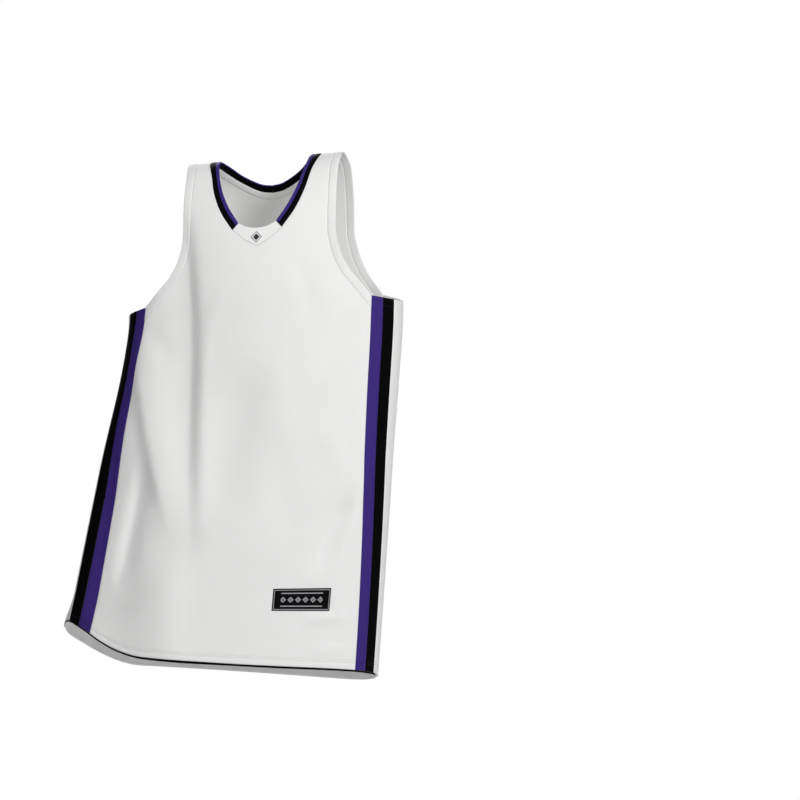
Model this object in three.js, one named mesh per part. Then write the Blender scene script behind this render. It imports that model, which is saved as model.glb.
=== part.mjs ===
import * as THREE from 'three';

// A sleeveless basketball jersey, filled out as if worn, with no wearer.
// Millimetres. +Z is up, the front faces -Y and +X is the wearer's left.
// The origin is the level of the shoulder line, midway between the two straps.

// Driving sizes
const CHEST_DOWN = 225;          // shoulder line to the level where the sides close
const HEM_DOWN = 760;            // shoulder line to the hem
const WALL = 1.4;                // cloth thickness
const SEAM_GAP = 0.3;            // clear space between two sewn pieces
const SIDE_RADIUS = 85;          // round of the body under the arm
const PURPLE_WIDTH = 21;
const BLACK_WIDTH = 25;
const WHITE_WIDTH = 78;
const ARMBAND_WIDTH = 12.5;
const ARMHOLE_DOWN = 217;        // where the armhole edge meets the side panel
const ARMHOLE_DIP = 8;           // how far the side panel's top dips under the arm
const COLLAR_BLACK_SHARE = 0.6;  // share of the collar's width that is black
const EDGING_WIDTH = 2.4;
const BACK_TAIL = 44;            // how far the back hem hangs below the front hem
const HEM_LIFT = 53;             // extra lift of the hem's corner at the wearer's right
const HEM_LIFT_FROM = 117;        // distance from the centre where that lift starts
const HEM_LIFT_TO = 239;
const HEM_TWIST = THREE.MathUtils.degToRad(9.9);

// Body outline, level by level under the arms
const BODY = [
  { down: 225, halfWidth: 210, front: 109, back: 96 },
  { down: 330, halfWidth: 216, front: 110, back: 97 },
  { down: 430, halfWidth: 223.5, front: 110, back: 98 },
  { down: 530, halfWidth: 230, front: 111, back: 98 },
  { down: 640, halfWidth: 236, front: 112, back: 99 },
  { down: 780, halfWidth: 243, front: 113, back: 100 },
];

// How the body hangs, level by level: the rise of the wearer's left for each 100 mm
// from the centre, and the sideways shift
const HANG = [
  { down: 0, rise: 13.4, shift: 0 },
  { down: 225, rise: 11.2, shift: 10.5 },
  { down: 480, rise: 11.3, shift: -9.5 },
  { down: 780, rise: -2.8, shift: -30 },
];

// Edge of the panels along the armhole seam, from the shoulder to the side panel
const ARM_SEAM = {
  front: [
    { down: 0, halfWidth: 106 }, { down: 25, halfWidth: 103 }, { down: 70, halfWidth: 103.4 },
    { down: 115, halfWidth: 104.5 }, { down: 150, halfWidth: 112 }, { down: 180, halfWidth: 126 },
    { down: 205, halfWidth: 144 }, { down: 236, halfWidth: 168.3 },
  ],
  back: [
    { down: 0, halfWidth: 106 }, { down: 25, halfWidth: 112.5 }, { down: 70, halfWidth: 113 },
    { down: 115, halfWidth: 112 }, { down: 150, halfWidth: 118.5 }, { down: 180, halfWidth: 130 },
    { down: 205, halfWidth: 145 }, { down: 236, halfWidth: 168.3 },
  ],
};

// Neck seam and neck opening, from the shoulder to the centre
const NECK = {
  frontSeam: [
    { down: 0, halfWidth: 85.4 }, { down: 22, halfWidth: 76.4 }, { down: 51, halfWidth: 68.8 },
    { down: 81, halfWidth: 55.9 }, { down: 108, halfWidth: 37.4 },
  ],
  frontOpening: [
    { down: 0, halfWidth: 69 }, { down: 24, halfWidth: 63.6 }, { down: 47.5, halfWidth: 56.4 },
    { down: 72.5, halfWidth: 45 }, { down: 98.3, halfWidth: 28.3 },
  ],
  insertSeam: [
    { down: 108, halfWidth: 37.4 }, { down: 116, halfWidth: 28 }, { down: 125.6, halfWidth: 16.2 },
    { down: 134, halfWidth: 0 },
  ],
  insertOpening: [
    { down: 98.3, halfWidth: 28.3 }, { down: 102.5, halfWidth: 21 }, { down: 106, halfWidth: 10.7 },
    { down: 107, halfWidth: 0 },
  ],
  backSeam: [
    { down: 0, halfWidth: 85.4 }, { down: 16.4, halfWidth: 67 }, { down: 31, halfWidth: 47.5 },
    { down: 42.6, halfWidth: 28 }, { down: 47.9, halfWidth: 15 }, { down: 50, halfWidth: 0 },
  ],
  backOpening: [
    { down: 0, halfWidth: 69 }, { down: 10, halfWidth: 56.7 }, { down: 20, halfWidth: 45 },
    { down: 30.8, halfWidth: 27 }, { down: 36.4, halfWidth: 14 }, { down: 38.5, halfWidth: 0 },
  ],
};

// The largest folds. Each runs from one point of the cloth to another, across and down;
// a positive height is a ridge, a negative one a trough.
const FOLDS = [
  { face: 'front', across: -100, down: 178, toAcross: -69, toDown: 560, width: 15, height: -5 },
  { face: 'front', across: -177, down: 291, toAcross: -96, toDown: 477, width: 16, height: 5 },
  { face: 'front', across: -132, down: 488, toAcross: -168, toDown: 600, width: 15, height: -4 },
  { face: 'front', across: -13, down: 347, toAcross: -16, toDown: 526, width: 26, height: -2.5 },
  { face: 'front', across: 174, down: 524, toAcross: 135, toDown: 607, width: 14, height: -3.5 },
  { face: 'front', across: 162, down: 241, toAcross: 102, toDown: 341, width: 16, height: -2.5 },
  { face: 'front', across: -166, down: 243, toAcross: -127, toDown: 306, width: 15, height: -2 },
  { face: 'back', across: 98, down: 160, toAcross: 82, toDown: 560, width: 16, height: -5 },
  { face: 'back', across: -176, down: 300, toAcross: -90, toDown: 500, width: 17, height: 4 },
  { face: 'back', across: -20, down: 420, toAcross: -40, toDown: 650, width: 24, height: -3 },
];

// The hem label, low on the front at the wearer's left
const LABEL = { across: 67, toAcross: 156, down: 648, toDown: 680, clearance: 0.3, wall: 1, fineness: 6 };

// Grid fineness
const PANEL_COLUMNS_NECK = 9;     // from the centre to the shoulder end of the neck seam
const PANEL_COLUMNS_STRAP = 2;
const BODY_ROWS = 18;
const YOKE_ROWS = 14;
const STRIP_COLUMNS = 1;
const CENTRE_COLUMNS = 6;
const NECK_CLEARANCE = 0.4;       // how far the panel's top edge is cut below the neck seam
const COLUMN_LEAN = 1.5;          // how late the panel's columns lean towards the neck

const WHITE = { color: 0xeeeeec, roughness: 0.85, metalness: 0 };
const PURPLE = { color: 0x3a2a78, roughness: 0.7, metalness: 0 };
const BLACK = { color: 0x0b0b0d, roughness: 0.7, metalness: 0 };

// Value of a table's column at a distance down, along a smooth monotone curve
function columnAt(table, column, down) {
  const slope = (k) => {
    const a = table[k];
    const b = table[k + 1];
    return (b[column] - a[column]) / (b.down - a.down);
  };
  const tangent = (k) => {
    if (k === 0) return slope(0);
    if (k === table.length - 1) return slope(k - 1);
    const before = slope(k - 1);
    const after = slope(k);
    return before * after <= 0 ? 0 : (2 * before * after) / (before + after);
  };
  let k = 0;
  while (k < table.length - 2 && down > table[k + 1].down) k += 1;
  const span = table[k + 1].down - table[k].down;
  const t = THREE.MathUtils.clamp((down - table[k].down) / span, 0, 1);
  const t2 = t * t;
  const t3 = t2 * t;
  return (2 * t3 - 3 * t2 + 1) * table[k][column] + (t3 - 2 * t2 + t) * span * tangent(k)
    + (3 * t2 - 2 * t3) * table[k + 1][column] + (t3 - t2) * span * tangent(k + 1);
}

const smooth = (from, to, value) => THREE.MathUtils.smoothstep(value, from, to);

// One quarter of the body's oval at a level: a wide front arc that runs into a side arc
function ovalAt(down, face) {
  const level = Math.max(down, CHEST_DOWN);
  const halfWidth = columnAt(BODY, 'halfWidth', level);
  const depth = columnAt(BODY, face, level);
  const turn = 2 * Math.atan((depth - SIDE_RADIUS) / (halfWidth - SIDE_RADIUS));
  const wideRadius = (halfWidth - SIDE_RADIUS) / Math.sin(turn) + SIDE_RADIUS;
  const wideLength = wideRadius * turn;
  const quarter = wideLength + SIDE_RADIUS * (Math.PI / 2 - turn);
  return { halfWidth, depth, turn, wideRadius, wideLength, quarter };
}

// Distance across the cloth, from the centre, of a point at a half width above the chest
function acrossAt(halfWidth, face) {
  const oval = ovalAt(0, face);
  const edge = oval.wideRadius * Math.sin(oval.turn);
  if (Math.abs(halfWidth) <= edge) return oval.wideRadius * Math.asin(halfWidth / oval.wideRadius);
  const sine = (Math.abs(halfWidth) - (oval.halfWidth - SIDE_RADIUS)) / SIDE_RADIUS;
  const length = oval.wideLength + SIDE_RADIUS * (Math.asin(sine) - oval.turn);
  return Math.sign(halfWidth) * length;
}

// Distance across at the side seam between the panel and the purple strip
const SIDE_HALF = WHITE_WIDTH / 2 + BLACK_WIDTH + PURPLE_WIDTH;
const sideSeam = (down, face) => ovalAt(down, face).quarter - SIDE_HALF;

// Height along the cloth. Under the chest it is the plain height; above it the cloth
// closes over the shoulder on a quarter ellipse, and the height is that curve's angle.
const SHOULDER_RISE = CHEST_DOWN * Math.PI / 2;
const downOf = (rise) => (rise <= 0 ? CHEST_DOWN - rise
  : CHEST_DOWN * (1 - Math.sin(rise / CHEST_DOWN)));
const riseOf = (down) => (down >= CHEST_DOWN ? CHEST_DOWN - down
  : CHEST_DOWN * Math.asin(1 - Math.max(down, 0) / CHEST_DOWN));

// Height of the folds at a point of the cloth
function foldAt(across, down, face) {
  let height = 0;
  for (const fold of FOLDS) {
    if (fold.face !== face) continue;
    const runAcross = fold.toAcross - fold.across;
    const runDown = fold.toDown - fold.down;
    const length = Math.hypot(runAcross, runDown);
    const along = ((across - fold.across) * runAcross + (down - fold.down) * runDown) / length;
    const off = ((across - fold.across) * runDown - (down - fold.down) * runAcross) / length;
    const t = along / length;
    const fade = smooth(-0.15, 0.3, t) * (1 - smooth(0.7, 1.15, t));
    height += fold.height * fade * Math.exp(-((off / fold.width) ** 2));
  }
  const toSide = ovalAt(down, face).quarter - Math.abs(across);
  return height * smooth(4, 60, toSide) * smooth(30, 120, down);
}

// The body as it hangs: tilt, sideways shift, longer back, lifted hem corner and twist
function pose(x, y, down) {
  const low = smooth(300, HEM_DOWN, down);
  const outward = THREE.MathUtils.clamp((-x - HEM_LIFT_FROM) / (HEM_LIFT_TO - HEM_LIFT_FROM), 0, 1.2);
  const tail = BACK_TAIL * smooth(-110, 110, y);
  const rise = (columnAt(HANG, 'rise', down) * x) / 100;
  const twist = HEM_TWIST * smooth(250, HEM_DOWN, down);
  return new THREE.Vector3(
    x * Math.cos(twist) - y * Math.sin(twist) + columnAt(HANG, 'shift', down),
    x * Math.sin(twist) + y * Math.cos(twist),
    rise - down + low * (HEM_LIFT * outward * outward - tail),
  );
}

// The smooth body, before the folds, at a distance across and a height along the cloth
function bodyPoint(across, rise, face) {
  const down = downOf(rise);
  const oval = ovalAt(down, face);
  const length = Math.abs(across);
  let x = oval.wideRadius * Math.sin(length / oval.wideRadius);
  let y = oval.wideRadius - oval.depth - oval.wideRadius * Math.cos(length / oval.wideRadius);
  if (length > oval.wideLength) {
    const angle = oval.turn + (length - oval.wideLength) / SIDE_RADIUS;
    x = oval.halfWidth - SIDE_RADIUS + SIDE_RADIUS * Math.sin(angle);
    y = -SIDE_RADIUS * Math.cos(angle);
  }
  const closing = rise <= 0 ? 1 : Math.cos(rise / CHEST_DOWN);
  const side = across < 0 ? -1 : 1;
  return pose(side * x, (face === 'front' ? y : -y) * closing, down);
}

// Outward normal of a surface given as a function of across and rise
function normalOf(surface, across, rise, face) {
  const step = 0.5;
  const alongAcross = surface(across + step, rise, face).sub(surface(across - step, rise, face));
  const alongRise = surface(across, rise + step, face).sub(surface(across, rise - step, face));
  const normal = alongAcross.cross(alongRise).normalize();
  return face === 'front' ? normal : normal.negate();
}

// A point of the cloth with its folds
function clothPoint(across, rise, face) {
  const point = bodyPoint(across, rise, face);
  const height = foldAt(across, downOf(rise), face);
  if (Math.abs(height) < 1e-4) return point;
  return point.addScaledVector(normalOf(bodyPoint, across, rise, face), height);
}

// A grid point of a piece: its place and its outward normal
function clothSpot({ across, rise, face }) {
  return {
    point: clothPoint(across, rise, face),
    normal: normalOf(clothPoint, across, rise, face),
  };
}

// A closed wall over a grid of spots, from one height over the cloth to another
function wallGeometry(grid, lower, upper) {
  const rows = grid.length;
  const columns = grid[0].length;
  const positions = [];
  for (const height of [upper, lower]) {
    for (const row of grid) {
      for (const spot of row) {
        positions.push(...spot.point.clone().addScaledVector(spot.normal, height).toArray());
      }
    }
  }
  const outer = (row, column) => row * columns + column;
  const inner = (row, column) => rows * columns + outer(row, column);
  const triangles = [];
  const quad = (a, b, c, d) => triangles.push(a, b, c, a, c, d);
  for (let row = 0; row < rows - 1; row += 1) {
    for (let column = 0; column < columns - 1; column += 1) {
      quad(outer(row, column), outer(row, column + 1), outer(row + 1, column + 1), outer(row + 1, column));
      quad(inner(row, column), inner(row + 1, column), inner(row + 1, column + 1), inner(row, column + 1));
    }
    quad(outer(row, 0), outer(row + 1, 0), inner(row + 1, 0), inner(row, 0));
    const last = columns - 1;
    quad(outer(row + 1, last), outer(row, last), inner(row, last), inner(row + 1, last));
  }
  for (let column = 0; column < columns - 1; column += 1) {
    quad(outer(0, column + 1), outer(0, column), inner(0, column), inner(0, column + 1));
    const top = rows - 1;
    quad(outer(top, column), outer(top, column + 1), inner(top, column + 1), inner(top, column));
  }
  const a = new THREE.Vector3();
  const b = new THREE.Vector3();
  const c = new THREE.Vector3();
  let volume = 0;
  for (let k = 0; k < triangles.length; k += 3) {
    a.fromArray(positions, 3 * triangles[k]);
    b.fromArray(positions, 3 * triangles[k + 1]);
    c.fromArray(positions, 3 * triangles[k + 2]);
    volume += a.dot(b.cross(c));
  }
  if (volume < 0) triangles.reverse();
  const geometry = new THREE.BufferGeometry();
  geometry.setAttribute('position', new THREE.Float32BufferAttribute(positions, 3));
  geometry.setIndex(triangles);
  return geometry;
}

const jersey = new THREE.Group();

function addPiece(name, grid, finish, lower = -WALL / 2, upper = WALL / 2) {
  const geometry = wallGeometry(grid, lower, upper);
  geometry.computeVertexNormals();
  const mesh = new THREE.Mesh(geometry, new THREE.MeshStandardMaterial(finish));
  mesh.name = name;
  jersey.add(mesh);
}

// Evenly spaced values from one end to the other
const spread = (from, to, count) => Array.from(
  { length: count + 1 },
  (_, k) => from + ((to - from) * k) / count,
);

// Even samples of a table from its first row to its last, as half width and distance down
function sampleTable(table, count) {
  const parameter = (k) => THREE.MathUtils.clamp(k, 0, table.length - 1);
  const curve = new THREE.CatmullRomCurve3(
    table.map((row) => new THREE.Vector3(row.halfWidth, row.down, 0)),
    false,
    'centripetal',
  );
  return spread(0, 1, count).map((t) => {
    const point = curve.getPoint(parameter(t * (table.length - 1)) / (table.length - 1));
    return { halfWidth: Math.max(point.x, 0), down: Math.max(point.y, 0) };
  });
}

// Seam and opening of the neck from the shoulder to the centre, paired point by point
const INSERT_COLUMNS = 3;
const frontNeck = {
  seam: [
    ...sampleTable(NECK.frontSeam, PANEL_COLUMNS_NECK - INSERT_COLUMNS),
    ...sampleTable(NECK.insertSeam, INSERT_COLUMNS).slice(1),
  ],
  opening: [
    ...sampleTable(NECK.frontOpening, PANEL_COLUMNS_NECK - INSERT_COLUMNS),
    ...sampleTable(NECK.insertOpening, INSERT_COLUMNS).slice(1),
  ],
};
const backNeck = {
  seam: sampleTable(NECK.backSeam, PANEL_COLUMNS_NECK),
  opening: sampleTable(NECK.backOpening, PANEL_COLUMNS_NECK),
};
const necks = { front: frontNeck, back: backNeck };

// Level of the common row under the yoke, where the armhole seam meets the side seam
const YOKE_DOWN = ARM_SEAM.front[ARM_SEAM.front.length - 1].down;
const YOKE_RISE = riseOf(YOKE_DOWN);
const ARM_BLEND_FROM = 150;       // from here down the seam eases to the side panel's edge
const ARMBAND_SETTLE = 0.3;       // share of the band's rows over which its lower end turns level

// Distance across of the panel's edge at a level above the common row
function armSeam(down, face) {
  const table = ARM_SEAM[face];
  const meets = table[table.length - 1].halfWidth;
  const atSide = sideSeam(YOKE_DOWN, face);
  const share = smooth(ARM_BLEND_FROM, YOKE_DOWN, down);
  return acrossAt(columnAt(table, 'halfWidth', down), face) + share * (atSide - acrossAt(meets, face));
}

// Height samples of the yoke along a column that ends at a given rise
const yokeRises = (topRise) => spread(0, 1, YOKE_ROWS)
  .map((climb) => YOKE_RISE + (topRise - YOKE_RISE) * climb * (0.6 + 0.4 * climb));
const bodyDowns = spread(HEM_DOWN, YOKE_DOWN, BODY_ROWS);

// The top edge of half a panel: centre to shoulder along the neck seam, then along the strap
function panelTop(face) {
  const shoulderTrim = ((SEAM_GAP / 2) * CHEST_DOWN) / ovalAt(0, face).depth;
  const top = SHOULDER_RISE - shoulderTrim;
  const seam = [...necks[face].seam].reverse();
  const points = seam.map((point) => ({
    across: acrossAt(point.halfWidth, face),
    rise: Math.min(riseOf(point.down), top),
  }));
  const start = points[points.length - 1].across;
  const end = armSeam(0, face);
  for (const across of spread(start, end, PANEL_COLUMNS_STRAP).slice(1)) {
    points.push({ across, rise: top });
  }
  return points;
}

// Grid of a whole panel, from the hem up, wearer's right to left
function panelGrid(face) {
  const top = panelTop(face);
  const halfColumns = top.length - 1;
  const columns = [];
  for (let k = -halfColumns; k <= halfColumns; k += 1) {
    const index = Math.abs(k);
    const share = index / halfColumns;
    const sign = k < 0 ? -1 : 1;
    const column = [];
    for (const down of bodyDowns) {
      const edge = sideSeam(down, face) - SEAM_GAP / 2;
      column.push({ across: sign * share * edge, rise: riseOf(down), face });
    }
    const isNeck = index <= PANEL_COLUMNS_NECK;
    const end = top[index];
    const endRise = end.rise - (isNeck ? NECK_CLEARANCE : 0);
    const endShare = end.across / armSeam(downOf(end.rise), face);
    yokeRises(endRise).slice(1).forEach((rise, row) => {
      const climb = (row + 1) / YOKE_ROWS;
      const mix = share + (endShare - share) * climb ** COLUMN_LEAN;
      const edge = armSeam(downOf(rise), face) - SEAM_GAP / 2;
      column.push({ across: sign * mix * edge, rise, face });
    });
    columns.push(column);
  }
  return columns[0].map((_, row) => columns.map((column) => column[row]));
}

// Front and back panels
const toSpots = (rows) => rows.map((row) => row.map(clothSpot));
const panelSpots = { front: toSpots(panelGrid('front')), back: toSpots(panelGrid('back')) };
for (const face of ['front', 'back']) addPiece(`${face}_panel`, panelSpots[face], WHITE);

// Strips of a side panel, by distance from the side line; negative is towards the front
const edges = {
  purple: SIDE_HALF,
  black: WHITE_WIDTH / 2 + BLACK_WIDTH,
  white: WHITE_WIDTH / 2,
};
const STRIPS = [
  { name: 'purple_front', from: -edges.purple, to: -edges.black, finish: PURPLE, columns: STRIP_COLUMNS },
  { name: 'black_front', from: -edges.black, to: -edges.white, finish: BLACK, columns: STRIP_COLUMNS },
  { name: 'white_centre', from: -edges.white, to: edges.white, finish: WHITE, columns: CENTRE_COLUMNS },
  { name: 'black_back', from: edges.white, to: edges.black, finish: BLACK, columns: STRIP_COLUMNS },
  { name: 'purple_back', from: edges.black, to: edges.purple, finish: PURPLE, columns: STRIP_COLUMNS },
];
const sideTopDown = (fromSide) => ARMHOLE_DOWN
  + ARMHOLE_DIP * Math.cos((fromSide / SIDE_HALF) * (Math.PI / 2));

for (const side of [-1, 1]) {
  const label = side < 0 ? 'right' : 'left';
  for (const strip of STRIPS) {
    const lines = spread(strip.from + SEAM_GAP / 2, strip.to - SEAM_GAP / 2, strip.columns);
    const spotAt = (fromSide, down) => {
      const face = fromSide <= 0 ? 'front' : 'back';
      const across = side * (ovalAt(down, face).quarter - Math.abs(fromSide));
      return { across, rise: riseOf(down), face };
    };
    const rows = bodyDowns.map((down) => lines.map((fromSide) => spotAt(fromSide, down)));
    for (const climb of [0.5, 1]) {
      rows.push(lines.map((fromSide) => {
        const topDown = sideTopDown(fromSide);
        return spotAt(fromSide, YOKE_DOWN + (topDown - YOKE_DOWN) * climb);
      }));
    }
    addPiece(`side_${label}_${strip.name}`, toSpots(rows), strip.finish);
  }
}

// Armhole bindings: the seam line of the panels, and the edge a band's width outside it
for (const side of [-1, 1]) {
  const label = side < 0 ? 'right' : 'left';
  const rows = [];
  for (const face of ['front', 'back']) {
    const top = SHOULDER_RISE;
    const rises = yokeRises(top);
    const pairs = rises.map((rise, index) => {
      const down = downOf(rise);
      const step = 0.5;
      const seam = armSeam(down, face);
      const depth = ovalAt(0, face).depth;
      const stretch = Math.hypot(
        Math.cos(rise / CHEST_DOWN),
        (depth / CHEST_DOWN) * Math.sin(rise / CHEST_DOWN),
      );
      const slope = (armSeam(downOf(rise + step), face) - armSeam(downOf(rise - step), face))
        / (2 * step * stretch);
      const size = Math.hypot(1, slope);
      const settle = 1 - smooth(0, ARMBAND_SETTLE, index / YOKE_ROWS);
      const outward = { across: 1 / size, rise: -slope / size };
      const width = ARMBAND_WIDTH;
      const offAcross = width * outward.across * (1 - settle);
      const offRise = (width * outward.rise * (1 - settle)) / stretch
        + settle * (YOKE_DOWN - ARMHOLE_DOWN);
      const at = (share) => {
        const height = rise + offRise * share;
        const limit = sideSeam(downOf(height), face) - SEAM_GAP / 2;
        return { across: side * Math.min(seam + offAcross * share, limit), rise: height, face };
      };
      const gap = SEAM_GAP / 2 / width;
      return [at(gap), at(0.5), at(1)];
    });
    if (face === 'back') pairs.reverse();
    rows.push(...(face === 'back' ? pairs.slice(1) : pairs));
  }
  addPiece(`armhole_band_${label}`, toSpots(rows), WHITE);
}

// Collar: from the front insert over one shoulder, round the back and to the insert again
const mixSpot = (seam, opening, share, side, face) => {
  const halfWidth = seam.halfWidth + (opening.halfWidth - seam.halfWidth) * share;
  const down = seam.down + (opening.down - seam.down) * share;
  return { across: side * acrossAt(halfWidth, face), rise: riseOf(down), face };
};
const ringPairs = [];
const collarSamples = PANEL_COLUMNS_NECK - INSERT_COLUMNS;
for (let k = collarSamples; k >= 0; k -= 1) ringPairs.push({ index: k, side: -1, face: 'front' });
for (let k = 1; k <= PANEL_COLUMNS_NECK; k += 1) ringPairs.push({ index: k, side: -1, face: 'back' });
for (let k = PANEL_COLUMNS_NECK - 1; k >= 0; k -= 1) ringPairs.push({ index: k, side: 1, face: 'back' });
for (let k = 1; k <= collarSamples; k += 1) ringPairs.push({ index: k, side: 1, face: 'front' });

function ringRow(share) {
  return ringPairs.map(({ index, side, face }) => {
    const neck = necks[face];
    return mixSpot(neck.seam[index], neck.opening[index], share, side, face);
  });
}
const collarWidth = NECK.frontSeam[0].halfWidth - NECK.frontOpening[0].halfWidth;
const ringGap = SEAM_GAP / 2 / collarWidth;
const blackShare = COLLAR_BLACK_SHARE;
const collarParts = [
  { name: 'collar_black', shares: [ringGap, blackShare - ringGap], finish: BLACK },
  { name: 'collar_purple', shares: [blackShare + ringGap, 1], finish: PURPLE },
];
for (const part of collarParts) {
  const rows = part.shares.map(ringRow);
  addPiece(part.name, toSpots(rows), part.finish);
}

// Front insert, from the end of one collar band to the end of the other
{
  const order = [];
  for (let k = collarSamples; k <= PANEL_COLUMNS_NECK; k += 1) order.push({ index: k, side: -1 });
  for (let k = PANEL_COLUMNS_NECK - 1; k >= collarSamples; k -= 1) order.push({ index: k, side: 1 });
  const shares = [ringGap, 0.5, 1];
  const rows = shares.map((share) => order.map(({ index, side }) => {
    const spot = mixSpot(frontNeck.seam[index], frontNeck.opening[index], share, side, 'front');
    const isEnd = index === collarSamples;
    return isEnd ? { ...spot, across: spot.across - side * SEAM_GAP, rise: spot.rise - SEAM_GAP / 2 } : spot;
  }));
  addPiece('collar_insert', toSpots(rows), WHITE);
}

// Black edging along the front hem, from side line to side line, with a grid line under
// each line of the pieces above it
{
  const halfColumns = PANEL_COLUMNS_NECK + PANEL_COLUMNS_STRAP;
  const panelEdge = sideSeam(HEM_DOWN, 'front');
  const underPanel = spread(0, panelEdge, halfColumns);
  const whiteLines = spread(WHITE_WIDTH / 2, 1, CENTRE_COLUMNS / 2);
  const underSide = [edges.black, ...whiteLines]
    .map((fromSide) => ovalAt(HEM_DOWN, 'front').quarter - fromSide);
  const half = [...underPanel, ...underSide];
  const lines = [...half.slice(1).reverse().map((across) => -across), ...half];
  const rows = [HEM_DOWN + SEAM_GAP + EDGING_WIDTH, HEM_DOWN + SEAM_GAP].map((down) => (
    lines.map((across) => ({ across, rise: riseOf(down), face: 'front' }))
  ));
  addPiece('hem_edging_front', toSpots(rows), BLACK);
}

// Hem label: the panel's own faces under it, each cell cut finer, and moved out
{
  const spots = panelSpots.front;
  const halfColumns = PANEL_COLUMNS_NECK + PANEL_COLUMNS_STRAP;
  const middle = (LABEL.down + LABEL.toDown) / 2;
  const columnOf = (across) => halfColumns * (1 + across / sideSeam(middle, 'front'));
  const rowOf = (down) => (BODY_ROWS * (HEM_DOWN - down)) / (HEM_DOWN - YOKE_DOWN);
  const lines = (from, to) => {
    const first = Math.round(from * LABEL.fineness);
    const last = Math.round(to * LABEL.fineness);
    return spread(first / LABEL.fineness, last / LABEL.fineness, last - first);
  };
  const between = (row, column) => {
    const r = Math.floor(row + 1e-6);
    const c = Math.floor(column + 1e-6);
    const right = column - c;
    const up = row - r;
    const corner = up <= right ? spots[r][c + 1] : spots[r + 1][c];
    const shares = up <= right ? [1 - right, right - up, up] : [1 - up, up - right, right];
    const mix = (key) => spots[r][c][key].clone().multiplyScalar(shares[0])
      .addScaledVector(corner[key], shares[1])
      .addScaledVector(spots[r + 1][c + 1][key], shares[2]);
    return { point: mix('point'), normal: mix('normal').normalize() };
  };
  const columnLines = lines(columnOf(LABEL.across), columnOf(LABEL.toAcross));
  const rowLines = lines(rowOf(LABEL.toDown), rowOf(LABEL.down));
  const grid = rowLines.map((row) => columnLines.map((column) => between(row, column)));
  const lower = WALL / 2 + LABEL.clearance;
  addPiece('hem_label', grid, BLACK, lower, lower + LABEL.wall);
}

export default jersey;
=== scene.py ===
import math

import bpy
import numpy as np
from bpy.props import FloatProperty, FloatVectorProperty, IntProperty, PointerProperty
from mathutils import Matrix


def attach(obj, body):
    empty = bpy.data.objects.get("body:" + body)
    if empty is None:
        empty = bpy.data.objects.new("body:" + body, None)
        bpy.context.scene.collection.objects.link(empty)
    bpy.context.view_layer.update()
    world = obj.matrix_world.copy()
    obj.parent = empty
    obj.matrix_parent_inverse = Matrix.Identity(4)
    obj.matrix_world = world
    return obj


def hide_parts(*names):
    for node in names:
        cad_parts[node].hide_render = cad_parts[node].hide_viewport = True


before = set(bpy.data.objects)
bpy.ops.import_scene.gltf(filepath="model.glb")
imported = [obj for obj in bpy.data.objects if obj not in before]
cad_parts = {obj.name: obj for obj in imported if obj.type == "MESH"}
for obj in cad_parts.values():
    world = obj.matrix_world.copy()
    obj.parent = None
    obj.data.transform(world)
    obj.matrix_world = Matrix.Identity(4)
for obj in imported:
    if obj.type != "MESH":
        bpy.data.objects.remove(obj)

bl_info = {
    "name": "Basketball Jersey",
    "version": (1, 0, 0),
    "blender": (4, 5, 0),
    "location": "View3D > Sidebar > Jersey",
    "description": "A sleeveless knit jersey with side stripes, a two-tone collar and a hem label",
    "category": "Add Mesh",
}

# Sizes in millimetres. Down is the distance under the shoulder line, and across the
# distance along the cloth from the centre line. +X is the wearer's left, the front faces -Y.
MM = 0.001
CHEST_DOWN = 225.0
HEM_DOWN = 760.0
YOKE_DOWN = 236.0
SIDE_RADIUS = 85.0
PURPLE_WIDTH = 21.0
BLACK_WIDTH = 25.0
WHITE_WIDTH = 78.0
SIDE_HALF = WHITE_WIDTH / 2 + BLACK_WIDTH + PURPLE_WIDTH
ARMBAND_WIDTH = 12.5
ARMHOLE_DOWN = 217.0
ARMHOLE_DIP = 11.0
ARM_BLEND_FROM = 150.0
COLLAR_WIDTH = 14.0
COLLAR_BLACK_SHARE = 0.6
# Height of the black strip of painted shade under the front hem
HEM_SHADE_WIDTH = 2.4
BACK_TAIL = 44.0
HEM_LIFT, HEM_LIFT_FROM, HEM_LIFT_TO = 53.0, 117.0, 239.0
HEM_TWIST = math.radians(9.9)
SIDE_DENT, SIDE_DENT_WIDTH = 12.0, 26.0
WALL = 1.4
SEAM_GAP = 0.1

# down, half width, front depth, back depth
BODY = np.array([
    (225, 210, 109, 96), (330, 216, 110, 97), (430, 223.5, 110, 98),
    (530, 230, 111, 98), (640, 236, 112, 99), (780, 243, 113, 100),
], float)

# down, rise of the wearer's left for each 100 mm, sideways shift
HANG = np.array([
    (0, 13.4, 0), (225, 11.2, 10.5), (480, 11.3, -9.5), (780, -2.8, -30),
], float)

# down, half width of the front's edge, half width of the back's edge, at the armhole seam
ARM_SEAM_FRONT = np.array([
    (0, 106), (25, 103), (70, 103.4), (115, 104.5), (150, 112), (180, 126), (205, 144), (236, 168.3),
], float)
ARM_SEAM_BACK = np.array([
    (0, 106), (25, 112.5), (70, 113), (115, 112), (150, 118.5), (180, 130), (205, 145), (236, 168.3),
], float)

# Neck curves from the shoulder to the centre: down, half width
NECK = {
    "front_seam": [(0, 85.4), (22, 76.4), (51, 68.8), (81, 55.9), (108, 37.4)],
    "front_opening": [(0, 69), (24, 63.6), (47.5, 56.4), (72.5, 45), (98.3, 28.3)],
    "insert_seam": [(108, 37.4), (116, 28), (125.6, 16.2), (134, 0)],
    "insert_opening": [(98.3, 28.3), (102.5, 21), (106, 10.7), (107, 0)],
    "back_seam": [(0, 85.4), (16.4, 67), (31, 47.5), (42.6, 28), (47.9, 15), (50, 0)],
    "back_opening": [(0, 69), (10, 56.7), (20, 45), (30.8, 27), (36.4, 14), (38.5, 0)],
}

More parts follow.
